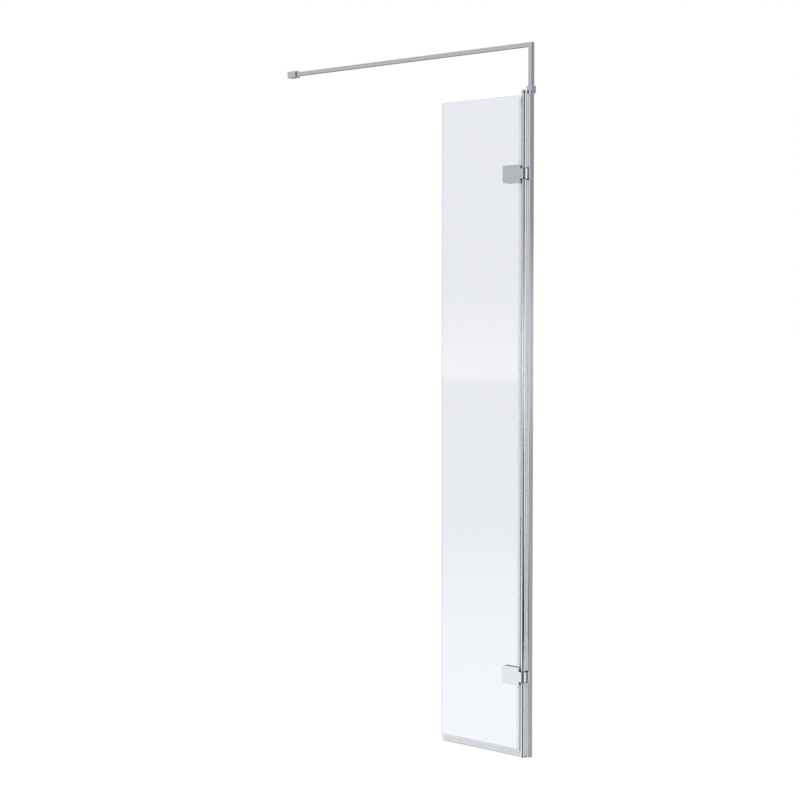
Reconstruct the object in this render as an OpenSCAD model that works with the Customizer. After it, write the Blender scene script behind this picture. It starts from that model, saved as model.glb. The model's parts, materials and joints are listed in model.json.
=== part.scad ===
// Hinged return panel: a narrow glass panel that swings on a round tube in front of a slim
// aluminium post. The post takes the free edge of a fixed shower screen in a channel at its
// back, and a square arm braces the top of the post to a wall.
// Millimetres, +Z up, origin at the middle of the post's foot. The panel stretches to -X,
// its outside faces -Y, and the channel for the fixed screen opens to +Y.

/* [Post] */
// Width of the post, along the panel
post_width = 22; // [20:0.5:40]
// Depth of the post, along the fixed screen
post_depth = 16; // [15.5:0.5:40]
// Height of the post above the floor
post_height = 1950; // [1500:10:2200]
// Radius of the post's outer edges
post_edge_r = 0.8; // [0.4:0.1:1.5]
// Thickness of the foot plate
foot_t = 4; // [3:0.5:8]
// Thickness of the cap on top of the post
cap_t = 8.4; // [6:0.2:12]
// Radius of the cap's round end over the pivot tube
cap_lobe_r = 9.2; // [8.5:0.1:12]

/* [Screen channel] */
// Thickness of the fixed screen's glass
screen_glass_t = 8; // [6:1:10]
// Play left for that glass before the strip is clamped
screen_play = 0.2; // [0.1:0.1:0.5]
// Thickness of each gasket beside the screen
channel_gasket_t = 1.65; // [1:0.05:2]
// Thickness of the strip that clamps the screen
clamp_strip_t = 1.5; // [1:0.1:2]
// Depth of the channel
channel_depth = 10.5; // [8:0.5:12]
// Distance from the top of the post down to the top of the screen
screen_drop = 25; // [22:1:60]
// Radius of the set screws in the channel wall
set_screw_r = 2; // [1.5:0.1:2.2]

/* [Pivot tube] */
// Outer radius of the pivot tube
tube_r = 7; // [6:0.5:9]
// Bore radius of the pivot tube
tube_bore_r = 5; // [3.5:0.1:5.2]
// Gap between the tube and the front of the post
tube_gap = 2; // [1:0.1:4]
// Distance of the tube's axis from the side of the post next to the glass
tube_inset = 6.8; // [6:0.1:11]
// Half width of the seal between tube and post
tube_seal_w = 6.4; // [1:0.1:6.5]

/* [Glass] */
// Width of the return glass
glass_w = 321; // [200:1:600]
// Thickness of the return glass
glass_t = 8; // [6:1:10]
// Height of the glass's lower edge above the floor
glass_lift = 12; // [10:0.5:20]
// Distance of the glass's top edge below the top of the post
glass_drop = 5; // [2:1:30]
// Radius of the glass's corners
glass_corner_r = 5; // [2:0.5:15]
// Gap between the edge of the glass and the pivot tube
edge_gap = 1.8; // [1.6:0.1:3]

/* [Seals] */
// Wall of the clear seals
seal_wall = 1.2; // [0.8:0.1:1.5]
// Height of the bottom seal's legs on the glass
bottom_seal_leg = 10.8; // [6:0.2:15]
// Distance of the bottom seal's end from the outer edge of the glass
bottom_seal_inset = 5; // [0:1:20]
// Clearance of the bottom seal above the floor
bottom_seal_lift = 0.8; // [0.4:0.1:3]
// Wall of the edge seal
edge_seal_wall = 0.8; // [0.5:0.1:0.9]
// Length of the edge seal's legs on the glass
edge_seal_leg = 12; // [6:1:20]

/* [Hinges] */
// Distance from each end of the glass to the middle of its hinge
hinge_inset = 228; // [120:1:500]
// Width of the hinge's front plate
plate_w = 67.5; // [60:0.5:100]
// Height of the hinge's plates
plate_h = 52; // [46:1:80]
// Thickness of the hinge's plates
plate_t = 7; // [5.5:0.5:9]
// Corner radius of the hinge's plates
plate_corner_r = 4; // [1:0.5:8]
// How far the front plate ends short of the pivot axis
plate_setback = 7; // [6.5:0.5:9]
// Thickness of the gaskets under the plates
plate_gasket_t = 1; // [0.5:0.1:2]
// Height of the barrel that turns on the tube
barrel_h = 30; // [24:1:40]
// Clearance of the barrel in the post's cove
barrel_gap = 0.4; // [0.3:0.1:1]
// Wall of the bush in the barrel
bush_wall = 1.55; // [1:0.05:2]
// Running clearance between bush and tube
bush_play = 0.05; // [0.03:0.01:0.09]
// Thickness of the bush's flange
bush_flange_t = 1.2; // [0.8:0.1:2]
// Thickness of the circlip that carries the hinge
circlip_t = 1; // [0.8:0.1:1.5]
// Radius of the screws that clamp the glass
clamp_screw_r = 2.5; // [2:0.1:3]
// Distance between the two clamp screws
clamp_screw_pitch = 16; // [12:1:18]
// Depth of the notch in the edge of the glass
notch_depth = 25; // [20:1:40]

/* [Arm] */
// Side of the square arm
arm_side = 12.4; // [10:0.2:16]
// Wall of the arm's tube
arm_wall = 1.5; // [1:0.1:2.5]
// Height of the arm's top face above the post
arm_rise = 148; // [80:1:400]
// Length of the arm from its outer corner to the wall
arm_reach = 1059; // [400:1:1500]
// Width of the socket on the post, along the panel
socket_w = 21.5; // [20:0.5:26]
// Depth of the socket on the post
socket_d = 17.6; // [16.8:0.2:20]
// Height of the socket on the post
socket_h = 21.5; // [16:0.5:40]
// Thickness of the floor in that socket
socket_floor = 4; // [2:0.5:6]
// Clearance of the arm in its sockets, on each side
arm_play = 0.1; // [0.05:0.05:0.3]
// Length of each leg of the key inside the arm's corner
key_leg = 25; // [18:1:50]

/* [Wall socket] */
// Side of the wall socket
wall_side = 20.6; // [20:0.2:30]
// Length of the wall socket
wall_len = 38; // [30:1:60]
// Side of the base block inside the wall socket
base_side = 16.6; // [13:0.2:17]
// Thickness of the base block
base_t = 8; // [6:0.5:12]
// Radius of the screw hole in the base block
wall_hole_r = 2.75; // [2:0.05:3.5]

/* [Hidden] */

$fn = 64;
// Overlap that lets two shapes of one solid join, or a cut pass a face
eps = 0.5;
// Clearance of a screw, plug or spigot in its hole
fit_gap = 0.05;
// Recess of a screw's end below the face around it
screw_sink = 0.3;

chrome_colour = [0.82, 0.83, 0.86];
steel_colour = [0.62, 0.63, 0.66];
glass_colour = [0.90, 0.91, 0.95, 0.45];
seal_colour = [0.86, 0.88, 0.92, 0.6];
milky_colour = [0.88, 0.90, 0.94, 0.9];
rubber_colour = [0.12, 0.12, 0.13];
polymer_colour = [0.25, 0.26, 0.28];

// Places that follow from the sizes above
axis_x = tube_inset - post_width / 2;
axis_y = -post_depth / 2 - tube_gap - tube_r;
barrel_r = glass_t / 2 + plate_gasket_t + plate_t;
cove_r = barrel_r + barrel_gap;
channel_w = screen_glass_t + screen_play + 2 * channel_gasket_t + clamp_strip_t;
channel_floor_y = post_depth / 2 - channel_depth;
side_wall = (post_width - channel_w) / 2;
screen_top = post_height - screen_drop;

// Screw ports that run the full length of the post's side walls
port_r = 1.25;
port_x = post_width / 2 - side_wall / 2;
port_wall = 0.6;
port_y = channel_floor_y + port_r + port_wall;
port_screw_len = 16;

glass_right = axis_x - tube_r - edge_gap;
glass_left = glass_right - glass_w;
glass_front = axis_y - glass_t / 2;
glass_back = axis_y + glass_t / 2;
glass_top = post_height - glass_drop;
lower_hinge_z = glass_lift + hinge_inset;
upper_hinge_z = glass_top - hinge_inset;

plate_right = axis_x - plate_setback;
plate_left = plate_right - plate_w;
back_plate_gap = 0.5;
back_plate_right = axis_x - barrel_r - back_plate_gap;
plate_front = axis_y - barrel_r;
plate_back = axis_y + barrel_r;
gasket_inset = 1;
core_clear = 2;
notch_h = barrel_h + 5;
core_left = glass_right - notch_depth + core_clear;
bush_r = tube_r + bush_play + bush_wall;
flange_r = bush_r + 1.4;
relief_r = flange_r + 0.6;
clamp_screw_x = (core_left + glass_right) / 2;
clamp_head_r = 1.85 * clamp_screw_r;
thrust_gap = 0.1;
circlip_r = tube_r + edge_gap - 0.5;
circlip_seat_r = tube_r - 0.3;
circlip_drop = barrel_h / 2 + bush_flange_t + thrust_gap + circlip_t;

// The arm's outer side and back are flush with the post
arm_x = post_width / 2 - arm_side / 2;
arm_y = post_depth / 2 - arm_side / 2;
arm_top = post_height + arm_rise;
arm_inner = arm_side - 2 * arm_wall;
arm_z = arm_top - arm_side / 2;
wall_x = post_width / 2 - arm_reach;
bar_end_x = wall_x + base_t + 2;
pocket_side = base_side + 2 * arm_play;
sleeve_side = arm_side + 2 * arm_play;
spigot_gap = 0.6;
spigot_len = 20;
key_gap = 0.1;
key_screw_r = 1.5;
key_screw_back = 14;

// Heights of the set screws that press on the clamp strip, and of the one on the spigot
strip_screw_z = [screen_top * 0.15, screen_top * 0.5, screen_top * 0.85];
spigot_screw_z = post_height - spigot_len / 2;

// A rectangle with round corners, centred
module rounded_rect(w, h, r) {
    square([w - 2 * r, h], center = true);
    square([w, h - 2 * r], center = true);
    for (sx = [-1, 1], sy = [-1, 1])
        translate([sx * (w / 2 - r), sy * (h / 2 - r)]) circle(r = r, $fn = 32);
}

// A flat shape drawn in X and Z, given a thickness from y0 towards +Y
module upright_plate(y0, thickness) {
    translate([0, y0 + thickness, 0]) rotate([90, 0, 0])
        linear_extrude(height = thickness) children();
}

// A box given by its lowest and highest corners
module box(low, high) {
    translate(low) cube(high - low);
}

// A countersunk screw along +Z, with its head's face at z = 0 and its tip below
module countersunk_screw(shank_r, head_r, length) {
    difference() {
        union() {
            translate([0, 0, -length]) cylinder(r = shank_r, h = length);
            translate([0, 0, shank_r - head_r])
                cylinder(r1 = shank_r, r2 = head_r, h = head_r - shank_r);
        }
        translate([0, 0, -head_r * 0.45]) cylinder(r = head_r * 0.42, h = head_r, $fn = 6);
    }
}

// The hole for such a screw
module countersunk_hole(shank_r, head_r, depth) {
    translate([0, 0, -depth]) cylinder(r = shank_r, h = depth + eps);
    translate([0, 0, shank_r - head_r])
        cylinder(r1 = shank_r, r2 = head_r + eps, h = head_r - shank_r + eps);
}

// A set screw along +Z, with its outer end at z = 0 and its tip below
module set_screw(r, length) {
    difference() {
        translate([0, 0, -length]) cylinder(r = r, h = length);
        translate([0, 0, -min(r, length / 2)]) cylinder(r = 0.58 * r, h = r + eps, $fn = 6);
    }
}

module post_section() {
    difference() {
        rounded_rect(post_width, post_depth, post_edge_r);
        translate([axis_x, axis_y]) circle(r = cove_r, $fn = 96);
        translate([-channel_w / 2, channel_floor_y]) square([channel_w, channel_depth + eps]);
        for (side = [-1, 1]) translate([side * port_x, port_y]) circle(r = port_r, $fn = 24);
    }
}

// Places the children at each set screw in the channel wall, pointing out of the wall
module at_channel_screws() {
    for (z = concat(strip_screw_z, [spigot_screw_z]))
        translate([-post_width / 2, channel_floor_y + channel_depth * 0.57, z])
            rotate([0, -90, 0]) children();
}

// The side of the post that lies behind the channel's floor
module behind_floor() {
    translate([-post_width, channel_floor_y]) square([2 * post_width, post_depth]);
}

module post_profile() {
    color(chrome_colour) translate([0, 0, foot_t])
        linear_extrude(height = post_height - foot_t) difference() {
            post_section();
            behind_floor();
        }
}

// The two walls beside the screen, solids of their own so that the channel stays open
module channel_walls() {
    color(chrome_colour) difference() {
        translate([0, 0, foot_t]) linear_extrude(height = post_height - foot_t)
            intersection() {
                post_section();
                behind_floor();
            }
        at_channel_screws()
            translate([0, 0, -side_wall - eps]) cylinder(r = set_screw_r, h = side_wall + 2 * eps);
    }
}

// Outline that covers the post and the pivot tube, with a round end of radius r
module end_outline(r) {
    rounded_rect(post_width, post_depth, post_edge_r);
    translate([axis_x, axis_y]) circle(r = r);
    translate([axis_x - r * 0.7, axis_y]) square([r * 1.4, -axis_y]);
}

module foot_plate() {
    color(chrome_colour) difference() {
        union() {
            linear_extrude(height = foot_t) end_outline(tube_r);
            translate([axis_x, axis_y, 0]) cylinder(r = tube_bore_r - fit_gap, h = foot_t + 12);
        }
        for (side = [-1, 1]) translate([side * port_x, port_y, screw_sink]) rotate([180, 0, 0])
            countersunk_hole(port_r + fit_gap, port_r * 1.9, foot_t + eps);
    }
}

module foot_screws() {
    color(steel_colour)
        for (side = [-1, 1]) translate([side * port_x, port_y, screw_sink]) rotate([180, 0, 0])
            countersunk_screw(port_r - fit_gap, port_r * 1.9 - fit_gap, foot_t + port_screw_len);
}

module channel_gaskets() {
    inner_x = -channel_w / 2 + clamp_strip_t;
    color(rubber_colour) for (x = [inner_x, channel_w / 2 - channel_gasket_t])
        box([x, channel_floor_y, foot_t], [x + channel_gasket_t, post_depth / 2, screen_top]);
}

module clamp_strip() {
    color(steel_colour)
        box([-channel_w / 2, channel_floor_y, foot_t],
            [-channel_w / 2 + clamp_strip_t, post_depth / 2 - 1, screen_top]);
}

module channel_set_screws() {
    color(steel_colour) at_channel_screws() translate([0, 0, -screw_sink])
        set_screw(set_screw_r - fit_gap, side_wall - screw_sink);
}

module pivot_tube() {
    color(chrome_colour) difference() {
        translate([axis_x, axis_y, foot_t]) difference() {
            cylinder(r = tube_r, h = post_height - foot_t, $fn = 96);
            translate([0, 0, -eps]) cylinder(r = tube_bore_r, h = post_height);
        }
        for (z = [lower_hinge_z, upper_hinge_z])
            translate([axis_x, axis_y, z - circlip_drop - fit_gap]) difference() {
                cylinder(r = tube_r + 1, h = circlip_t + 2 * fit_gap);
                translate([0, 0, -eps]) cylinder(r = circlip_seat_r, h = circlip_t + 2 * eps);
            }
    }
}

module tube_plug() {
    color(steel_colour) translate([axis_x, axis_y, post_height]) difference() {
        translate([0, 0, -20]) cylinder(r = tube_bore_r - fit_gap, h = 20);
        translate([0, 0, -15]) cylinder(r = set_screw_r, h = 15 + eps);
    }
}

// Fills the space between tube and post, except where the barrels turn
module tube_seal() {
    reach = barrel_h / 2 + bush_flange_t + 2;
    color(milky_colour) for (span = [
        [foot_t, lower_hinge_z - reach],
        [lower_hinge_z + reach, upper_hinge_z - reach],
        [upper_hinge_z + reach, post_height]
    ])
        translate([axis_x, axis_y, span[0]]) linear_extrude(height = span[1] - span[0])
            difference() {
                intersection() {
                    circle(r = cove_r, $fn = 96);
                    translate([-tube_seal_w, 0]) square([2 * tube_seal_w, 2 * cove_r]);
                }
                circle(r = tube_r, $fn = 96);
            }
}

module circlip(z) {
    color(steel_colour) translate([axis_x, axis_y, z - circlip_drop]) difference() {
        cylinder(r = circlip_r, h = circlip_t);
        translate([0, 0, -eps]) cylinder(r = circlip_seat_r, h = circlip_t + 2 * eps);
        translate([0, -1.5, -eps]) cube([2 * circlip_r, 3, circlip_t + 2 * eps]);
    }
}

module upper_circlip() { circlip(upper_hinge_z); }
module lower_circlip() { circlip(lower_hinge_z); }

module top_cap() {
    color(chrome_colour) difference() {
        translate([0, 0, post_height]) linear_extrude(height = cap_t) difference() {
            end_outline(cap_lobe_r);
            translate([arm_x, arm_y])
                square([socket_w + 2 * arm_play, socket_d + 2 * arm_play], center = true);
        }
        translate([axis_x, axis_y, post_height + cap_t - screw_sink])
            countersunk_hole(set_screw_r + fit_gap, set_screw_r * 1.9, cap_t + eps);
        translate([-port_x, port_y, post_height + cap_t - screw_sink])
            countersunk_hole(port_r + fit_gap, port_r * 1.4, cap_t + eps);
    }
}

module top_cap_screws() {
    color(steel_colour) {
        translate([axis_x, axis_y, post_height + cap_t - screw_sink])
            countersunk_screw(set_screw_r - fit_gap, set_screw_r * 1.9 - fit_gap, cap_t + 12);
        translate([-port_x, port_y, post_height + cap_t - screw_sink])
            countersunk_screw(port_r - fit_gap, port_r * 1.4 - fit_gap, cap_t + port_screw_len);
    }
}

// Height of the screw that holds the arm in its socket
arm_screw_z = post_height + socket_h * 0.6;
socket_wall_y = (socket_d - sleeve_side) / 2;

module arm_socket() {
    color(chrome_colour) difference() {
        union() {
            translate([arm_x, arm_y, post_height]) linear_extrude(height = socket_h)
                rounded_rect(socket_w, socket_d, post_edge_r);
            box([arm_x - socket_w / 2 + post_edge_r, channel_floor_y + spigot_gap,
                    post_height - spigot_len],
                [channel_w / 2 - spigot_gap, post_depth / 2 - spigot_gap, post_height + eps]);
        }
        translate([arm_x, arm_y, post_height + socket_floor + socket_h / 2])
            cube([sleeve_side, sleeve_side, socket_h], center = true);
        translate([arm_x, arm_y + socket_d / 2 + eps, arm_screw_z]) rotate([90, 0, 0])
            cylinder(r = set_screw_r, h = socket_wall_y + 2 * eps);
    }
}

module arm_socket_screw() {
    color(steel_colour)
        translate([arm_x, arm_y + socket_d / 2 - screw_sink, arm_screw_z]) rotate([-90, 0, 0])
            set_screw(set_screw_r - fit_gap, socket_wall_y - screw_sink);
}

// Everything past the 45 degree cut at the arm's corner, on the side of the upright
module past_mitre() {
    translate([post_width / 2, arm_y, arm_top]) rotate([0, -45, 0])
        translate([-arm_side * 3, -arm_side, 0]) cube([arm_side * 6, arm_side * 2, arm_side * 3]);
}

// Bores for the two screws that hold the corner key, from the back of the arm
module at_key_screws() {
    translate([arm_x, arm_y + arm_side / 2, arm_top - arm_side - key_screw_back])
        rotate([-90, 0, 0]) children();
    translate([arm_x - arm_side / 2 - key_screw_back, arm_y + arm_side / 2, arm_z])
        rotate([-90, 0, 0]) children();
}

module arm_upright() {
    low = post_height + socket_floor;
    color(chrome_colour) difference() {
        translate([arm_x, arm_y, low]) linear_extrude(height = arm_top - low) difference() {
            square(arm_side, center = true);
            square(arm_inner, center = true);
        }
        past_mitre();
        at_key_screws() translate([0, 0, -arm_wall - eps])
            cylinder(r = key_screw_r, h = arm_wall + 2 * eps);
    }
}

module arm_bar() {
    color(chrome_colour) difference() {
        intersection() {
            difference() {
                box([bar_end_x, arm_y - arm_side / 2, arm_top - arm_side],
                    [post_width / 2, arm_y + arm_side / 2, arm_top]);
                box([bar_end_x - eps, arm_y - arm_inner / 2, arm_z - arm_inner / 2],
                    [post_width / 2 + eps, arm_y + arm_inner / 2, arm_z + arm_inner / 2]);
            }
            union() {
                past_mitre();
                box([bar_end_x - eps, arm_y - arm_side, arm_top - 2 * arm_side],
                    [post_width / 2 - 2 * arm_side, arm_y + arm_side, arm_top + arm_side]);
            }
        }
        at_key_screws() translate([0, 0, -arm_wall - eps])
            cylinder(r = key_screw_r, h = arm_wall + 2 * eps);
    }
}

module corner_key() {
    key_side = arm_inner - 2 * key_gap;
    inner_x = post_width / 2 - arm_side;
    key_low = [arm_x - key_side / 2, arm_y - key_side / 2, arm_z - key_side / 2];
    key_high = [arm_x + key_side / 2, arm_y + key_side / 2, arm_z + key_side / 2];
    color(steel_colour) difference() {
        union() {
            box([key_low.x, key_low.y, arm_top - arm_side - key_leg], key_high);
            box([inner_x - key_leg, key_low.y, key_low.z], key_high);
        }
        at_key_screws() translate([0, 0, -arm_side / 2]) cylinder(r = key_screw_r, h = arm_side);
    }
}

module corner_screws() {
    color(steel_colour) at_key_screws() translate([0, 0, -screw_sink])
        set_screw(key_screw_r - fit_gap, arm_side / 2 - screw_sink - eps);
}

// Distances of the wall socket's two screws from the wall
base_screw_x = base_t / 2;
bar_screw_x = wall_len * 0.6;

module wall_socket() {
    color(chrome_colour) difference() {
        translate([wall_x, arm_y, arm_z]) rotate([90, 0, 90])
            linear_extrude(height = wall_len) rounded_rect(wall_side, wall_side, post_edge_r);
        translate([wall_x + base_t / 2, arm_y, arm_z])
            cube([base_t + 2 * arm_play, pocket_side, pocket_side], center = true);
        translate([wall_x + wall_len / 2, arm_y, arm_z])
            cube([wall_len + 2 * eps, sleeve_side, sleeve_side], center = true);
        for (x = [base_screw_x, bar_screw_x])
            translate([wall_x + x, arm_y + wall_side / 2 + eps, arm_z]) rotate([90, 0, 0])
                cylinder(r = key_screw_r, h = wall_side / 2);
    }
}

module wall_base() {
    color(steel_colour) difference() {
        translate([wall_x + base_t / 2, arm_y, arm_z])
            cube([base_t, base_side, base_side], center = true);
        translate([wall_x - eps, arm_y, arm_z]) rotate([0, 90, 0])
            cylinder(r = wall_hole_r, h = base_t + 2 * eps);
    }
}

module wall_socket_screws() {
    color(steel_colour) for (screw = [[base_screw_x, pocket_side], [bar_screw_x, sleeve_side]])
        translate([wall_x + screw[0], arm_y + wall_side / 2 - screw_sink, arm_z])
            rotate([-90, 0, 0])
                set_screw(key_screw_r - fit_gap, (wall_side - screw[1]) / 2 - screw_sink);
}

module glass_panel() {
    glass_h = glass_top - glass_lift;
    color(glass_colour) upright_plate(glass_front, glass_t) difference() {
        translate([glass_right - glass_w / 2, glass_lift + glass_h / 2])
            rounded_rect(glass_w, glass_h, glass_corner_r);
        for (z = [lower_hinge_z, upper_hinge_z])
            translate([glass_right, z]) rounded_rect(2 * notch_depth, notch_h, 4);
    }
}

// The seal grips the glass, and a hollow bulb under it closes the gap to the floor
module bottom_seal() {
    outer = glass_t + 2 * seal_wall;
    bulb = glass_t - 1;
    color(seal_colour) translate([glass_left + bottom_seal_inset, axis_y, 0])
        rotate([90, 0, 90]) linear_extrude(height = glass_w - bottom_seal_inset)
            difference() {
                union() {
                    translate([-outer / 2, glass_lift - seal_wall])
                        square([outer, bottom_seal_leg + seal_wall]);
                    translate([-bulb / 2, bottom_seal_lift])
                        square([bulb, glass_lift - bottom_seal_lift - seal_wall / 2]);
                }
                translate([-glass_t / 2, glass_lift]) square([glass_t, bottom_seal_leg + eps]);
                translate([-bulb / 2 + seal_wall, bottom_seal_lift + seal_wall])
                    square([bulb - 2 * seal_wall,
                        glass_lift - bottom_seal_lift - 2.5 * seal_wall]);
            }
}

// Clear channel on the hinge edge of the glass, between and beyond the hinge plates
module edge_seal() {
    reach = plate_h / 2 + 0.5;
    outer = glass_t + 2 * edge_seal_wall;
    color(seal_colour) for (span = [
        [glass_lift + bottom_seal_leg + 0.3, lower_hinge_z - reach],
        [lower_hinge_z + reach, upper_hinge_z - reach],
        [upper_hinge_z + reach, glass_top - glass_corner_r]
    ])
        translate([glass_right, axis_y, span[0]]) linear_extrude(height = span[1] - span[0])
            difference() {
                union() {
                    translate([-edge_seal_leg, -outer / 2])
                        square([edge_seal_leg + edge_seal_wall, outer]);
                    square([2 * (edge_gap - 0.4), 2], center = true);
                }
                translate([-edge_seal_leg - eps, -glass_t / 2])
                    square([edge_seal_leg + eps, glass_t]);
            }
}

// Places the children at the two clamp screws, pointing out of the back plate
module at_clamp_screws(z) {
    for (side = [-1, 1])
        translate([clamp_screw_x, plate_back, z + side * clamp_screw_pitch / 2])
            rotate([-90, 0, 0]) children();
}

// Front plate, the core that passes through the glass, and the barrel, in one casting
module hinge_body(z) {
    color(chrome_colour) difference() {
        union() {
            upright_plate(plate_front, plate_t) translate([plate_right - plate_w / 2, z])
                rounded_rect(plate_w, plate_h, plate_corner_r);
            box([core_left, plate_front, z - barrel_h / 2],
                [axis_x, plate_back - plate_t, z + barrel_h / 2]);
            translate([axis_x, axis_y, z - barrel_h / 2])
                cylinder(r = barrel_r, h = barrel_h, $fn = 96);
        }
        translate([axis_x, axis_y, z - barrel_h / 2 - eps])
            cylinder(r = bush_r, h = barrel_h + 2 * eps);
        for (low = [z - plate_h, z + barrel_h / 2]) translate([axis_x, axis_y, low])
            cylinder(r = relief_r, h = plate_h - barrel_h / 2);
        at_clamp_screws(z) translate([0, 0, plate_front - plate_back + 2.5])
            cylinder(r = clamp_screw_r, h = 2 * barrel_r);
    }
}

module back_plate(z) {
    w = back_plate_right - plate_left;
    color(chrome_colour) difference() {
        upright_plate(plate_back - plate_t, plate_t) translate([plate_left + w / 2, z])
            rounded_rect(w, plate_h, plate_corner_r);
        at_clamp_screws(z) translate([0, 0, -screw_sink])
            countersunk_hole(clamp_screw_r + fit_gap, clamp_head_r, plate_t + eps);
    }
}

// A gasket between a plate and the glass, cut out round the hinge's core
module plate_gasket(z, y0, right) {
    left = plate_left + gasket_inset;
    right_edge = min(right, glass_right) - gasket_inset;
    color(rubber_colour) upright_plate(y0, plate_gasket_t) difference() {
        translate([(left + right_edge) / 2, z])
            square([right_edge - left, plate_h - 2 * gasket_inset], center = true);
        translate([glass_right, z]) square([2 * notch_depth, notch_h], center = true);
    }
}

module clamp_screws(z) {
    color(steel_colour) at_clamp_screws(z) translate([0, 0, -screw_sink])
        countersunk_screw(clamp_screw_r - fit_gap, clamp_head_r - fit_gap,
            2 * barrel_r - 2.5 - screw_sink - eps);
}

// Two flanged bushes, pushed into the barrel from both ends
module bushes(z) {
    color(polymer_colour) for (side = [0, 1]) translate([axis_x, axis_y, z])
        mirror([0, 0, side]) translate([0, 0, 1]) difference() {
            union() {
                cylinder(r = bush_r - fit_gap, h = barrel_h / 2 - 1 + eps);
                translate([0, 0, barrel_h / 2 - 1]) cylinder(r = flange_r, h = bush_flange_t);
            }
            translate([0, 0, -eps]) cylinder(r = tube_r + bush_play, h = barrel_h);
        }
}

module upper_hinge_body() { hinge_body(upper_hinge_z); }
module upper_back_plate() { back_plate(upper_hinge_z); }
module upper_front_gasket() {
    plate_gasket(upper_hinge_z, glass_front - plate_gasket_t, plate_right);
}
module upper_back_gasket() { plate_gasket(upper_hinge_z, glass_back, back_plate_right); }
module upper_clamp_screws() { clamp_screws(upper_hinge_z); }
module upper_bushes() { bushes(upper_hinge_z); }
module lower_hinge_body() { hinge_body(lower_hinge_z); }
module lower_back_plate() { back_plate(lower_hinge_z); }
module lower_front_gasket() {
    plate_gasket(lower_hinge_z, glass_front - plate_gasket_t, plate_right);
}
module lower_back_gasket() { plate_gasket(lower_hinge_z, glass_back, back_plate_right); }
module lower_clamp_screws() { clamp_screws(lower_hinge_z); }
module lower_bushes() { bushes(lower_hinge_z); }

post_profile();
channel_walls();
foot_plate();
foot_screws();
channel_gaskets();
clamp_strip();
channel_set_screws();
pivot_tube();
tube_plug();
tube_seal();
upper_circlip();
lower_circlip();
top_cap();
top_cap_screws();
arm_socket();
arm_socket_screw();
arm_upright();
arm_bar();
corner_key();
corner_screws();
wall_socket();
wall_base();
wall_socket_screws();
glass_panel();
bottom_seal();
edge_seal();
upper_hinge_body();
upper_back_plate();
upper_front_gasket();
upper_back_gasket();
upper_clamp_screws();
upper_bushes();
lower_hinge_body();
lower_back_plate();
lower_front_gasket();
lower_back_gasket();
lower_clamp_screws();
lower_bushes();
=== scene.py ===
import json
from math import pi, radians

import bmesh
import bpy
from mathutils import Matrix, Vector


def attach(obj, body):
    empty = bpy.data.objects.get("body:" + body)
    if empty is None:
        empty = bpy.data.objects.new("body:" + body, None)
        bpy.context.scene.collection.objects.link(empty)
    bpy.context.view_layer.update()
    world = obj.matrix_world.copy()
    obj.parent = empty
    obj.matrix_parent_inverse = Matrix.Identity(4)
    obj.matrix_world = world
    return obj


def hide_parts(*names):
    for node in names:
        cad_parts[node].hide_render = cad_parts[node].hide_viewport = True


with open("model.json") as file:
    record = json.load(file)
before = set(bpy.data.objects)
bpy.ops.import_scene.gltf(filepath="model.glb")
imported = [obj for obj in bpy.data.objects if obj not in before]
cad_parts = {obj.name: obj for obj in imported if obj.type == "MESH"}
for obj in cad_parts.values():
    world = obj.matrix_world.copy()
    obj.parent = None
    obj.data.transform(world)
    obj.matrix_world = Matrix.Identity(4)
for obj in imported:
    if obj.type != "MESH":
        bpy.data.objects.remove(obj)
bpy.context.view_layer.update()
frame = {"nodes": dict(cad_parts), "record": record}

MM = 0.001
WHITE = (1.0, 1.0, 1.0, 1.0)

# Sizes of the set, in millimetres
TUBE_AXIS = (-4.2, -17.0)
TUBE_R = 7.0
TUBE_BORE_R = 5.0
TUBE_BOTTOM = 4.0
TUBE_TOP = 1950.0
TUBE_CHAMFER = 0.3
CIRCLIP_HEIGHTS = (222.65, 1699.65)
CIRCLIP_GROOVE = 1.1
CIRCLIP_SEAT_R = 6.7

# The glass stands a hair clear of the seals that grip it, so that no two faces coincide
HAIR = 0.03
GLASS_LEFT = -334.0
GLASS_RIGHT = -13.0 - HAIR
GLASS_BOTTOM = 12.0 + HAIR
GLASS_TOP = 1945.0
GLASS_FRONT = -21.0 + HAIR
GLASS_BACK = -13.0 - HAIR
GLASS_CORNER_R = 5.0
GLASS_RIM = 0.7
NOTCH_DEPTH = 25.0
NOTCH_HEIGHT = 35.0
NOTCH_CORNER_R = 4.0
HINGE_HEIGHTS = (240.0, 1717.0)

# How wide the rounded edges of each casting, cap, socket and arm piece are, in millimetres
ROUNDED_EDGES = {
    "upper_hinge_body": 1.0,
    "upper_back_plate": 1.0,
    "lower_hinge_body": 1.0,
    "lower_back_plate": 1.0,
    "top_cap": 0.4,
    "arm_socket": 0.5,
    "wall_socket": 0.5,
    "arm_upright": 0.3,
    "arm_bar": 0.3,
}

# Meshing: points closer than this, in millimetres, become one
MERGE_DISTANCE = 0.002

# Meshing: faces that meet flatter than this, in degrees, become one
FLAT_ANGLE = 0.4

# Meshing: edges sharper than these, in degrees, are rounded or ground
CASTING_EDGE_ANGLE = 50.0
GLASS_EDGE_ANGLE = 60.0

# Meshing: steps round the tube
TUBE_STEPS = 96

# Camera, in metres and degrees
CAMERA_PLACE = (3.7747, -4.3084, 1.3130)
CAMERA_DIP = 2.573
CAMERA_TURN = 45.0
CAMERA_LENS = 87.78

# Floor, in metres, and how white it looks directly and, close to the set, through glass, where a
# painted pool of light makes it glow brighter
FLOOR_REACH = 14.0
FLOOR_DROP = 0.0003
FLOOR_COLOUR = (0.90, 0.90, 0.90, 1.0)
FLOOR_WHITENESS = 0.86
FLOOR_LEVEL = 1.055
FLOOR_PAINTED_GLOW_THROUGH_GLASS = 1.165
FLOOR_NEAR = 0.3
FLOOR_FAR = 6.0

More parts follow.
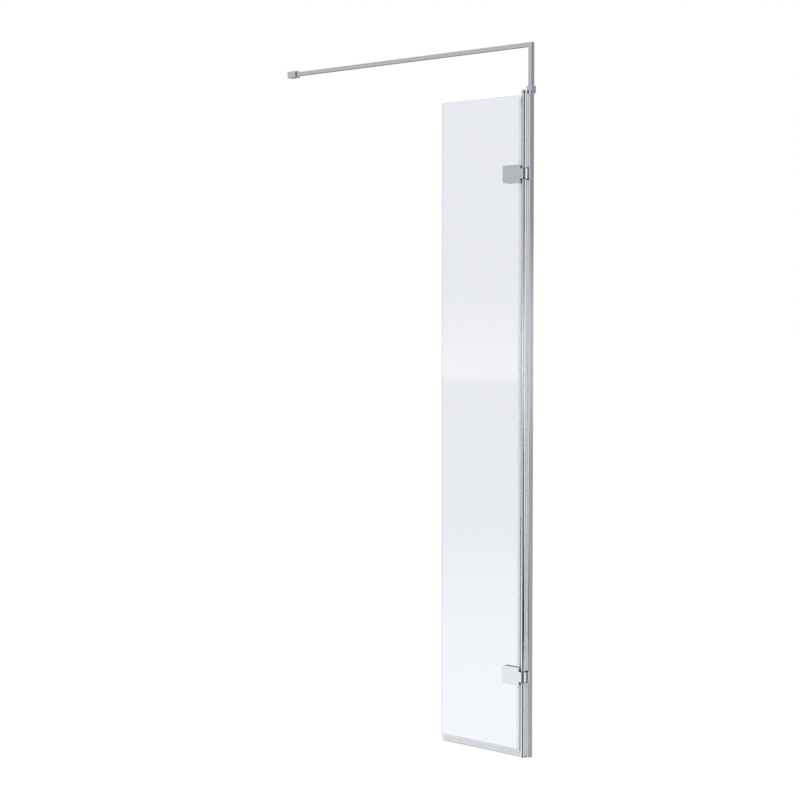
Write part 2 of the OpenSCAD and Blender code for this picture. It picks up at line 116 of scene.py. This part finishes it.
# Large soft panels that the glass and metal show, in front of a white backdrop
# Each has its left and right end on the full turn, its lowest and highest slope of sight, its
# grey and the softness of its lower edge
PANELS = {
    "pale floor close to the set": (-1.0, 2.0, -2.0, -0.26, 0.62, 0.03),
    "floor at the left": (-0.20, 0.19, -0.26, 2.0, 0.93, 0.03),
    "grey wall at the left": (-0.20, 0.19, -0.12, 2.0, 0.54, 0.03),
    "light strip at its foot, left": (0.11, 0.155, -0.0345, -0.01, 2.2, 0.004),
    "dark flag beside the camera": (0.23, 0.45, -2.0, 2.0, 0.14, 0.03),
    "light strip across it": (0.23, 0.45, -0.058, 0.01, 0.70, 0.02),
    "dark stand under the camera": (0.22, 0.52, -0.175, -0.125, 0.02, 0.004),
    "floor at the right": (0.59, 0.78, -2.0, 2.0, 0.40, 0.03),
    "grey wall at the right": (0.59, 0.78, -0.08, 2.0, 0.30, 0.03),
    "light strip at its foot, right": (0.59, 0.78, -0.06, 0.02, 0.55, 0.03),
    "dark flag behind the set": (0.80, 0.95, -2.0, 2.0, 0.14, 0.03),
}
PANEL_SIDE_BLUR = 0.02
PANEL_TOP_BLUR = 0.03

# Grey ceiling: the slopes of sight where it begins and is full
CEILING_SLOPES = (0.25, 0.7)
CEILING_COLOUR = (0.60, 0.60, 0.60, 1.0)

# Slightly cool light on everything mirrored, and soft light on everything matt
COOL_TINT = (0.985, 0.99, 1.0, 1.0)
SOFT_LIGHT = (0.98, 0.99, 1.0, 1.0)
SOFT_LEVEL = 0.78

# Lamps: where each hangs, where it aims, its side in metres and its power in watts
LAMPS = {
    "softbox over the front": ((0.8, -2.8, 3.8), (-0.3, 0.0, 0.9), 2.6, 30.0),
    "softbox at the side": ((2.8, 1.6, 2.6), (0.0, 0.0, 1.0), 2.0, 10.0),
}

# Sockets of a Mix node that blends colours
MIX_AMOUNT = 0
MIX_FIRST = 6
MIX_SECOND = 7
MIX_RESULT = 2


# Camera at the photograph's viewing angle
def place_camera():
    view = bpy.data.cameras.new("camera")
    view.lens = CAMERA_LENS
    view.sensor_width = 36.0
    view.clip_end = 100.0
    camera = bpy.data.objects.new("camera", view)
    camera.location = CAMERA_PLACE
    camera.rotation_euler = (radians(90.0 - CAMERA_DIP), 0.0, radians(CAMERA_TURN))
    bpy.context.scene.collection.objects.link(camera)
    bpy.context.scene.camera = camera


# Helpers for node trees
def add(tree, kind, **settings):
    made = tree.nodes.new(kind)
    for key, value in settings.items():
        setattr(made, key, value)
    return made


def feed(tree, socket, value):
    if isinstance(value, bpy.types.NodeSocket):
        tree.links.new(value, socket)
    else:
        socket.default_value = value


def calculate(tree, operation, first, second=0.0, clamp=False):
    made = add(tree, "ShaderNodeMath", operation=operation, use_clamp=clamp)
    feed(tree, made.inputs[0], first)
    feed(tree, made.inputs[1], second)
    return made.outputs[0]


def between(tree, value, low, high, to_low=0.0, to_high=1.0, smooth=True):
    made = add(tree, "ShaderNodeMapRange")
    made.interpolation_type = "SMOOTHSTEP" if smooth else "LINEAR"
    feed(tree, made.inputs["Value"], value)
    feed(tree, made.inputs["From Min"], low)
    feed(tree, made.inputs["From Max"], high)
    feed(tree, made.inputs["To Min"], to_low)
    feed(tree, made.inputs["To Max"], to_high)
    return made.outputs["Result"]


def blend_colours(tree, amount, first, second, blend_type="MIX"):
    made = add(tree, "ShaderNodeMix", data_type="RGBA", blend_type=blend_type)
    feed(tree, made.inputs[MIX_AMOUNT], amount)
    feed(tree, made.inputs[MIX_FIRST], first)
    feed(tree, made.inputs[MIX_SECOND], second)
    return made.outputs[MIX_RESULT]


# A shared effect: its inputs with their usual values, and its outputs
def start_effect(name, inputs, outputs):
    tree = bpy.data.node_groups.new(name, "ShaderNodeTree")
    for label, value in inputs.items():
        socket = tree.interface.new_socket(label, in_out="INPUT", socket_type="NodeSocketFloat")
        socket.default_value = value
    for label in outputs:
        tree.interface.new_socket(label, in_out="OUTPUT", socket_type="NodeSocketFloat")
    return tree, add(tree, "NodeGroupInput"), add(tree, "NodeGroupOutput")


# Round marks that drops of water leave when they dry, in patches
def build_water_marks():
    ring_starts = (0.16, 0.27)
    ring_ends = (0.28, 0.36)
    patch_edges = (0.42, 0.66)
    tree, given, out = start_effect(
        "water marks", {"Drops per metre": 160.0, "Coverage": 0.5}, ["Mask"])
    place = add(tree, "ShaderNodeTexCoord").outputs["Object"]
    drops = add(tree, "ShaderNodeTexVoronoi", feature="F1")
    feed(tree, drops.inputs["Vector"], place)
    feed(tree, drops.inputs["Scale"], given.outputs["Drops per metre"])
    inner = between(tree, drops.outputs["Distance"], *ring_starts)
    outer = between(tree, drops.outputs["Distance"], *ring_ends, 1.0, 0.0)
    ring = calculate(tree, "MULTIPLY", inner, outer)
    chosen = add(tree, "ShaderNodeSeparateColor")
    feed(tree, chosen.inputs[0], drops.outputs["Color"])
    keep = calculate(tree, "GREATER_THAN", chosen.outputs[0], given.outputs["Coverage"])
    clouds = add(tree, "ShaderNodeTexNoise")
    feed(tree, clouds.inputs["Vector"], place)
    clouds.inputs["Scale"].default_value = 7.0
    clouds.inputs["Detail"].default_value = 4.0
    patches = between(tree, clouds.outputs["Fac"], *patch_edges)
    marks = calculate(tree, "MULTIPLY", calculate(tree, "MULTIPLY", ring, keep), patches)
    feed(tree, out.inputs["Mask"], marks)
    return tree


# Fine lines that drawing, turning or polishing leaves along the metal
def build_drawn_lines():
    tone_edges = (0.3, 0.7)
    tree, given, out = start_effect(
        "drawn lines", {"Across": 2600.0, "Along": 14.0}, ["Height", "Tone"])
    place = add(tree, "ShaderNodeSeparateXYZ")
    feed(tree, place.inputs[0], add(tree, "ShaderNodeTexCoord").outputs["Object"])
    squeezed = add(tree, "ShaderNodeCombineXYZ")
    for axis, label in enumerate(("Across", "Across", "Along")):
        feed(tree, squeezed.inputs[axis],
             calculate(tree, "MULTIPLY", place.outputs[axis], given.outputs[label]))
    lines = add(tree, "ShaderNodeTexNoise")
    feed(tree, lines.inputs["Vector"], squeezed.outputs[0])
    lines.inputs["Scale"].default_value = 1.0
    lines.inputs["Detail"].default_value = 3.0
    feed(tree, out.inputs["Height"], lines.outputs["Fac"])
    feed(tree, out.inputs["Tone"], between(tree, lines.outputs["Fac"], *tone_edges))
    return tree


# Soft smears from hands and cloths
def build_smears():
    smear_edges = (0.38, 0.68)
    tree, given, out = start_effect("smears", {"Size": 26.0}, ["Mask"])
    noise = add(tree, "ShaderNodeTexNoise")
    feed(tree, noise.inputs["Vector"], add(tree, "ShaderNodeTexCoord").outputs["Object"])
    feed(tree, noise.inputs["Scale"], given.outputs["Size"])
    noise.inputs["Detail"].default_value = 5.0
    noise.inputs["Distortion"].default_value = 1.4
    feed(tree, out.inputs["Mask"], between(tree, noise.outputs["Fac"], *smear_edges))
    return tree


# Pits and ripple of moulded rubber and plastic
def build_moulded_skin():
    tree, given, out = start_effect("moulded skin", {"Pits": 1400.0}, ["Height"])
    noise = add(tree, "ShaderNodeTexNoise")
    feed(tree, noise.inputs["Vector"], add(tree, "ShaderNodeTexCoord").outputs["Object"])
    feed(tree, noise.inputs["Scale"], given.outputs["Pits"])
    noise.inputs["Detail"].default_value = 2.0
    feed(tree, out.inputs["Height"], noise.outputs["Fac"])
    return tree


EFFECTS = {
    "water marks": build_water_marks(),
    "drawn lines": build_drawn_lines(),
    "smears": build_smears(),
    "moulded skin": build_moulded_skin(),
}


def use_effect(tree, name, **values):
    made = add(tree, "ShaderNodeGroup", node_tree=EFFECTS[name])
    for label, value in values.items():
        made.inputs[label.replace("_", " ")].default_value = value
    return made.outputs


def start_material(name):
    material = bpy.data.materials.new(name)
    material.use_nodes = True
    tree = material.node_tree
    shader = tree.nodes["Principled BSDF"]
    return material, tree, shader


def raise_surface(tree, shader, height, strength, distance):
    bump = add(tree, "ShaderNodeBump")
    bump.inputs["Strength"].default_value = strength
    bump.inputs["Distance"].default_value = distance
    feed(tree, bump.inputs["Height"], height)
    feed(tree, shader.inputs["Normal"], bump.outputs[0])


# A metal: its colour, its roughness when clean and when smeared, its drawn lines and water marks
def make_metal(name, colour, smooth, dull, lines, along, marked):
    dimming = 0.86
    line_tone = 0.18
    mark_roughness = 0.06
    line_relief = 0.25
    material, tree, shader = start_material(name)
    shader.inputs["Metallic"].default_value = 1.0
    marks = use_effect(tree, "water marks")
    smears = use_effect(tree, "smears")
    drawn = use_effect(tree, "drawn lines", Along=along)
    dimmed = tuple(dimming * part for part in colour)
    faint = calculate(tree, "MULTIPLY", marks["Mask"], marked)
    lined = calculate(tree, "MULTIPLY", drawn["Tone"], line_tone * lines)
    amount = calculate(tree, "ADD", faint, lined, clamp=True)
    feed(tree, shader.inputs["Base Color"],
         blend_colours(tree, amount, (*colour, 1.0), (*dimmed, 1.0)))
    clean = between(tree, smears["Mask"], 0.0, 1.0, smooth, dull)
    rough = calculate(
        tree, "ADD", clean, calculate(tree, "MULTIPLY", marks["Mask"], mark_roughness))
    feed(tree, shader.inputs["Roughness"], rough)
    raise_surface(
        tree, shader, drawn["Height"], strength=line_relief * lines, distance=0.00002)
    return material


# Clear glass with dried drops and smears, which lets most of the light through to the floor
def make_glass(name, tint, shade, smooth, dull, clear):
    mark_tone = 0.35
    smear_tone = 0.10
    material, tree, shader = start_material(name)
    shader.inputs["Metallic"].default_value = 0.0
    shader.inputs["Transmission Weight"].default_value = 1.0
    shader.inputs["IOR"].default_value = 1.5
    marks = use_effect(tree, "water marks", Drops_per_metre=110.0, Coverage=0.55)
    smears = use_effect(tree, "smears", Size=5.0)
    amount = calculate(tree, "MULTIPLY", marks["Mask"], mark_tone)
    amount = calculate(
        tree, "ADD", amount, calculate(tree, "MULTIPLY", smears["Mask"], smear_tone))
    feed(tree, shader.inputs["Base Color"],
         blend_colours(tree, amount, (*tint, 1.0), (*shade, 1.0)))
    rough = between(tree, smears["Mask"], 0.0, 1.0, smooth, dull)
    feed(tree, shader.inputs["Roughness"], rough)
    light_through = add(tree, "ShaderNodeBsdfTransparent")
    light_through.inputs["Color"].default_value = (clear, clear, clear, 1.0)
    shadow_ray = add(tree, "ShaderNodeLightPath").outputs["Is Shadow Ray"]
    either = add(tree, "ShaderNodeMixShader")
    feed(tree, either.inputs[0], shadow_ray)
    tree.links.new(shader.outputs[0], either.inputs[1])
    tree.links.new(light_through.outputs[0], either.inputs[2])
    tree.links.new(either.outputs[0], tree.nodes["Material Output"].inputs["Surface"])
    return material


# A thin clear plastic that lets most of what lies behind it show, less so in its lowest few
# millimetres, which are made greyer
def make_soft_plastic(name, colour, milky, least, most):
    grey_foot_top = 0.0050
    grey_foot_full = 0.0035
    grey_foot_cover = 0.22
    smooth = 0.16
    dull = 0.3
    material, tree, shader = start_material(name)
    shader.inputs["IOR"].default_value = 1.45
    skin = use_effect(tree, "moulded skin", Pits=900.0)
    smears = use_effect(tree, "smears", Size=16.0)
    feed(tree, shader.inputs["Base Color"],
         blend_colours(tree, smears["Mask"], (*colour, 1.0), (*milky, 1.0)))
    rough = between(tree, smears["Mask"], 0.0, 1.0, smooth, dull)
    feed(tree, shader.inputs["Roughness"], rough)
    place = add(tree, "ShaderNodeSeparateXYZ")
    feed(tree, place.inputs[0], add(tree, "ShaderNodeTexCoord").outputs["Object"])
    # Darker towards the bottom: more opaque below 3.5 mm, fading out by 5 mm
    grey_foot = between(tree, place.outputs[2], grey_foot_top, grey_foot_full)
    thin = between(tree, smears["Mask"], 0.0, 1.0, least, most)
    feed(tree, shader.inputs["Alpha"],
         calculate(tree, "ADD", thin, calculate(tree, "MULTIPLY", grey_foot, grey_foot_cover)))
    raise_surface(tree, shader, skin["Height"], strength=0.1, distance=0.00003)
    return material


# A moulded rubber or plastic, paler and duller where it is smeared
def make_moulded(name, colour, pale, rough, pits):
    smear_tone = 0.6
    smear_roughness = 0.15
    material, tree, shader = start_material(name)
    skin = use_effect(tree, "moulded skin", Pits=pits)
    smears = use_effect(tree, "smears", Size=60.0)
    amount = calculate(tree, "MULTIPLY", smears["Mask"], smear_tone)
    feed(tree, shader.inputs["Base Color"],
         blend_colours(tree, amount, (*colour, 1.0), (*pale, 1.0)))
    feed(tree, shader.inputs["Roughness"],
         between(tree, smears["Mask"], 0.0, 1.0, rough, rough + smear_roughness))
    raise_surface(tree, shader, skin["Height"], strength=0.3, distance=0.00006)
    return material


FINISHES = {
    "chrome_fittings": make_metal(
        "polished chrome plate", colour=(0.845, 0.870, 0.925),
        smooth=0.03, dull=0.07, lines=0.15, along=30.0, marked=0.5),
    "chrome_profile": make_metal(
        "bright anodised profile", colour=(0.885, 0.905, 0.945),
        smooth=0.06, dull=0.10, lines=0.5, along=9.0, marked=0.4),
    "steel_hardware": make_metal(
        "plain stainless hardware", colour=(0.56, 0.57, 0.59),
        smooth=0.22, dull=0.32, lines=1.0, along=600.0, marked=0.3),
    "clear_glass": make_glass(
        "clear toughened glass", tint=(0.825, 0.84, 0.895), shade=(0.80, 0.82, 0.87),
        smooth=0.0, dull=0.012, clear=0.93),
    "clear_seal": make_soft_plastic(
        "clear soft plastic", colour=(0.80, 0.81, 0.84), milky=(0.84, 0.85, 0.88),
        least=0.20, most=0.23),
    "milky_seal": make_moulded(
        "milky soft plastic", colour=(0.95, 0.96, 1.0), pale=(0.90, 0.92, 0.97),
        rough=0.22, pits=900.0),
    "black_rubber": make_moulded(
        "black rubber", colour=(0.018, 0.018, 0.020), pale=(0.045, 0.045, 0.048),
        rough=0.55, pits=1500.0),
    "bush_polymer": make_moulded(
        "dark bush polymer", colour=(0.045, 0.047, 0.052), pale=(0.075, 0.078, 0.085),
        rough=0.42, pits=2200.0),
}
GROUND_EDGE = make_soft_plastic(
    "ground glass edge", colour=(0.70, 0.74, 0.77), milky=(0.76, 0.80, 0.82),
    least=0.40, most=0.46)


# Which finish and which body each node has
record = frame["record"]
SLOT_OF = {part["node"]: part["material_slot"] for part in record["subparts"]}
BODY_OF = {}
for body_name, members in record["behaviour"]["bodies"].items():
    for member in members:
        BODY_OF[member] = body_name


def finish_nodes():
    for name, slot in SLOT_OF.items():
        part = frame["nodes"][name]
        if not part.material_slots:
            part.data.materials.append(FINISHES[slot])
        for held in part.material_slots:
            held.material = FINISHES[slot]


# A finished mesh becomes a piece that stands for its node
def seat_piece(shape, name, node, extra=(), crease=32.0):
    data = bpy.data.meshes.new(name)
    for face in shape.faces:
        face.smooth = True
    shape.to_mesh(data)
    shape.free()
    data.set_sharp_from_angle(angle=radians(crease))
    for material in (FINISHES[SLOT_OF[node]], *extra):
        data.materials.append(material)
    piece = bpy.data.objects.new(name, data)
    bpy.context.scene.collection.objects.link(piece)
    shading = piece.modifiers.new("even shading", "WEIGHTED_NORMAL")
    shading.weight = 100
    shading.keep_sharp = True
    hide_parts(node)
    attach(piece, BODY_OF[node])
    return piece


def round_off(shape, items, width, segments, affect="EDGES"):
    bmesh.ops.bevel(
        shape, geom=items, offset=width * MM, offset_type="OFFSET", segments=segments,
        profile=0.5, affect=affect, clamp_overlap=True, material=-1)


# Rounds the outer edges of a casting, plate, cap, socket or arm piece
def soften(node, width):
    shape = bmesh.new()
    shape.from_mesh(frame["nodes"][node].data)
    bmesh.ops.remove_doubles(shape, verts=shape.verts, dist=MERGE_DISTANCE * MM)
    bmesh.ops.dissolve_limit(
        shape, angle_limit=radians(FLAT_ANGLE), verts=shape.verts, edges=shape.edges)
    outer = [
        edge for edge in shape.edges
        if edge.is_manifold
        and edge.is_convex
        and edge.calc_face_angle() > radians(CASTING_EDGE_ANGLE)
    ]
    round_off(shape, outer, width, segments=3)
    return seat_piece(shape, node.replace("_", "-"), node)


# Cut from a flat outline drawn in X and Z, with round corners and ground edges
def make_glass_sheet():
    notch_floor = GLASS_RIGHT - NOTCH_DEPTH
    same_place = 1e-6
    broad_side = 0.9
    flat_side = 0.98
    shape = bmesh.new()
    outline = [(GLASS_LEFT, GLASS_BOTTOM), (GLASS_RIGHT, GLASS_BOTTOM)]
    for height in HINGE_HEIGHTS:
        low = height - NOTCH_HEIGHT / 2
        high = height + NOTCH_HEIGHT / 2
        outline += [(GLASS_RIGHT, low), (notch_floor, low)]
        outline += [(notch_floor, high), (GLASS_RIGHT, high)]
    outline += [(GLASS_RIGHT, GLASS_TOP), (GLASS_LEFT, GLASS_TOP)]
    corners = [shape.verts.new((x * MM, GLASS_FRONT * MM, z * MM)) for x, z in outline]
    shape.faces.new(corners)
    inner = [
        corner for corner in corners
        if abs(corner.co.x - notch_floor * MM) < same_place
    ]
    outer = [corners[0], corners[1], corners[-2], corners[-1]]
    for group, radius in ((inner, NOTCH_CORNER_R), (outer, GLASS_CORNER_R)):
        round_off(shape, group, radius, segments=8, affect="VERTICES")
    grown = bmesh.ops.extrude_face_region(shape, geom=list(shape.faces))
    moved = [item for item in grown["geom"] if isinstance(item, bmesh.types.BMVert)]
    bmesh.ops.translate(shape, verts=moved, vec=(0.0, (GLASS_BACK - GLASS_FRONT) * MM, 0.0))
    bmesh.ops.recalc_face_normals(shape, faces=shape.faces)
    rims = [
        edge for edge in shape.edges
        if len(edge.link_faces) == 2
        and any(abs(face.normal.y) > broad_side for face in edge.link_faces)
        and edge.calc_face_angle() > radians(GLASS_EDGE_ANGLE)
    ]
    round_off(shape, rims, GLASS_RIM, segments=1)
    for face in shape.faces:
        face.material_index = 0 if abs(face.normal.y) > flat_side else 1
    return seat_piece(shape, "return-glass", "glass_panel", extra=(GROUND_EDGE,), crease=20.0)


# The tube's wall is spun round the pivot axis, with its circlip grooves
def spin_tube():
    end_r = TUBE_R - TUBE_CHAMFER
    shape = bmesh.new()
    wall = [(TUBE_BORE_R, TUBE_BOTTOM), (end_r, TUBE_BOTTOM)]
    wall += [(TUBE_R, TUBE_BOTTOM + TUBE_CHAMFER)]
    for height in CIRCLIP_HEIGHTS:
        wall += [(TUBE_R, height), (CIRCLIP_SEAT_R, height)]
        wall += [(CIRCLIP_SEAT_R, height + CIRCLIP_GROOVE), (TUBE_R, height + CIRCLIP_GROOVE)]
    wall += [(TUBE_R, TUBE_TOP - TUBE_CHAMFER), (end_r, TUBE_TOP), (TUBE_BORE_R, TUBE_TOP)]
    ring = [shape.verts.new(((TUBE_AXIS[0] + r) * MM, TUBE_AXIS[1] * MM, z * MM)) for r, z in wall]
    sides = [shape.edges.new((ring[i - 1], ring[i])) for i in range(len(ring))]
    bmesh.ops.spin(
        shape, geom=ring + sides, axis=(0.0, 0.0, 1.0),
        cent=(TUBE_AXIS[0] * MM, TUBE_AXIS[1] * MM, 0.0), angle=2.0 * pi, steps=TUBE_STEPS,
        use_merge=True)
    bmesh.ops.remove_doubles(shape, verts=shape.verts, dist=MERGE_DISTANCE * MM)
    bmesh.ops.recalc_face_normals(shape, faces=shape.faces)
    return seat_piece(shape, "turning-tube", "pivot_tube")


# Pale floor under the set, which keeps its shadow; through glass a painted pool of light makes it
# whiter close to the set
def lay_floor():
    shape = bmesh.new()
    bmesh.ops.create_grid(shape, x_segments=4, y_segments=4, size=FLOOR_REACH)
    bmesh.ops.translate(shape, verts=shape.verts, vec=(0.0, 0.0, -FLOOR_DROP))
    data = bpy.data.meshes.new("floor")
    shape.to_mesh(data)
    shape.free()
    floor = bpy.data.objects.new("floor", data)
    bpy.context.scene.collection.objects.link(floor)
    floor.visible_glossy = False
    material, tree, shader = start_material("pale floor")
    tree.nodes.remove(shader)
    matt = add(tree, "ShaderNodeBsdfDiffuse")
    matt.inputs["Color"].default_value = FLOOR_COLOUR
    white = add(tree, "ShaderNodeEmission")
    white.inputs["Color"].default_value = WHITE
    distance = add(tree, "ShaderNodeVectorMath", operation="LENGTH")
    feed(tree, distance.inputs[0], add(tree, "ShaderNodeTexCoord").outputs["Object"])
    rays = add(tree, "ShaderNodeLightPath")
    # Painted pool of light: seen through glass, the floor glows brighter close to the set
    painted_glow_near_set = between(tree, distance.outputs["Value"], FLOOR_NEAR, FLOOR_FAR,
                     FLOOR_PAINTED_GLOW_THROUGH_GLASS, FLOOR_LEVEL, smooth=False)
    through = calculate(tree, "MULTIPLY", painted_glow_near_set, rays.outputs["Is Transmission Ray"])
    feed(tree, white.inputs["Strength"], calculate(tree, "MAXIMUM", through, FLOOR_LEVEL))
    seen = calculate(tree, "MAXIMUM", rays.outputs["Is Camera Ray"],
                     rays.outputs["Is Transmission Ray"])
    both = add(tree, "ShaderNodeMixShader")
    feed(tree, both.inputs[0], calculate(tree, "MULTIPLY", seen, FLOOR_WHITENESS))
    tree.links.new(matt.outputs[0], both.inputs[1])
    tree.links.new(white.outputs[0], both.inputs[2])
    tree.links.new(both.outputs[0], tree.nodes["Material Output"].inputs["Surface"])
    data.materials.append(material)


def stand_panel(tree, turn, rise, shown, panel):
    left, right, low, high, grey, blur = panel
    starts = between(tree, turn, left - PANEL_SIDE_BLUR, left + PANEL_SIDE_BLUR)
    ends = between(tree, turn, right - PANEL_SIDE_BLUR, right + PANEL_SIDE_BLUR, 1.0, 0.0)
    above = between(tree, rise, low - blur, low + blur)
    below = between(tree, rise, high - PANEL_TOP_BLUR, high + PANEL_TOP_BLUR, 1.0, 0.0)
    across = calculate(tree, "MULTIPLY", starts, ends)
    along = calculate(tree, "MULTIPLY", above, below)
    covered = calculate(tree, "MULTIPLY", across, along)
    return blend_colours(tree, covered, shown, (grey, grey, grey, 1.0))


# The studio: a white backdrop, with panels and a grey ceiling for the glass and metal to show
def build_studio():
    world = bpy.data.worlds.new("studio")
    bpy.context.scene.world = world
    world.use_nodes = True
    tree = world.node_tree
    tree.nodes.clear()
    way = add(tree, "ShaderNodeSeparateXYZ")
    feed(tree, way.inputs[0], add(tree, "ShaderNodeTexCoord").outputs["Generated"])
    x, y, rise = way.outputs
    turn = calculate(tree, "DIVIDE", calculate(tree, "ARCTAN2", y, x), 2.0 * pi)
    turn = calculate(tree, "ADD", turn, 0.5)
    shown = WHITE
    for panel in PANELS.values():
        shown = stand_panel(tree, turn, rise, shown, panel)
    ceiling = between(tree, rise, *CEILING_SLOPES)
    shown = blend_colours(tree, ceiling, shown, CEILING_COLOUR)
    mirrored = add(tree, "ShaderNodeBackground")
    cooled = blend_colours(tree, 1.0, shown, COOL_TINT, blend_type="MULTIPLY")
    feed(tree, mirrored.inputs["Color"], cooled)
    soft = add(tree, "ShaderNodeBackground")
    soft.inputs["Color"].default_value = SOFT_LIGHT
    soft.inputs["Strength"].default_value = SOFT_LEVEL
    backdrop = add(tree, "ShaderNodeBackground")
    backdrop.inputs["Color"].default_value = WHITE
    rays = add(tree, "ShaderNodeLightPath")
    metal = add(tree, "ShaderNodeMixShader")
    feed(tree, metal.inputs[0], rays.outputs["Is Glossy Ray"])
    tree.links.new(soft.outputs[0], metal.inputs[1])
    tree.links.new(mirrored.outputs[0], metal.inputs[2])
    seen = add(tree, "ShaderNodeMixShader")
    through = calculate(tree, "MAXIMUM", rays.outputs["Is Camera Ray"],
                        rays.outputs["Is Transmission Ray"])
    feed(tree, seen.inputs[0], through)
    tree.links.new(metal.outputs[0], seen.inputs[1])
    tree.links.new(backdrop.outputs[0], seen.inputs[2])
    tree.links.new(seen.outputs[0], add(tree, "ShaderNodeOutputWorld").inputs["Surface"])


def hang_lamp(name, place, aim, side, power):
    lamp = bpy.data.lights.new(name, "AREA")
    lamp.shape = "SQUARE"
    lamp.size = side
    lamp.energy = power
    hung = bpy.data.objects.new(name, lamp)
    hung.location = place
    hung.rotation_euler = (Vector(aim) - Vector(place)).to_track_quat("-Z", "Y").to_euler()
    hung.visible_camera = False
    hung.visible_glossy = False
    hung.visible_transmission = False
    bpy.context.scene.collection.objects.link(hung)


place_camera()
build_studio()
for name, (place, aim, side, power) in LAMPS.items():
    hang_lamp(name, place, aim, side, power)
lay_floor()

finish_nodes()
for node, width in ROUNDED_EDGES.items():
    soften(node, width)
make_glass_sheet()
spin_tube()

bpy.context.scene.view_settings.view_transform = "Standard"
